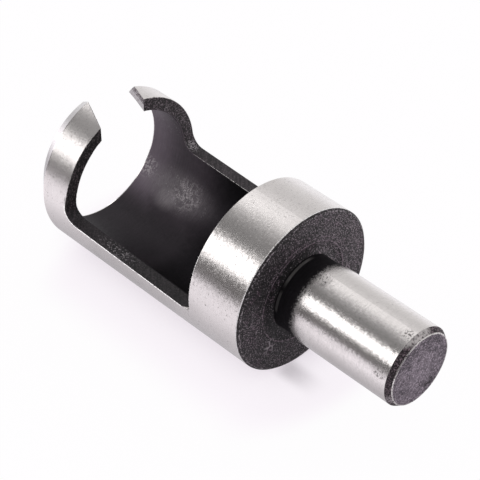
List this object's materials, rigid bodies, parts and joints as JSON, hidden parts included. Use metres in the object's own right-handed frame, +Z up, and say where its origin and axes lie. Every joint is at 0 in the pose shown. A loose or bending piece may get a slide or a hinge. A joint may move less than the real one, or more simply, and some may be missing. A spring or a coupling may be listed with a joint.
{
  "type": "wood plug cutter",
  "caption": "Barrel-type wood plug cutter: slotted, bevelled cutting ring, half-open bored barrel, collar and plain round shank, all one piece.",
  "frame": {"origin": "bottom centre of the bounding box, on the line where the barrel rests on a flat surface; the cutter's axis is 10 mm above it", "axes": "+X along the cutter's axis from the cutting tooth to the end of the shank, +Z up out of the window, +Y across"},
  "size_m": [0.0504, 0.02, 0.02],
  "materials": {
    "steel": "ground bright outside and on the slot's faces; black oxide in the bore, on the window's walls, on the rear face, in the neck and on the shank's end"
  },
  "bodies": {
    "root": {"plug_cutter": "steel"}
  },
  "joints": []
}
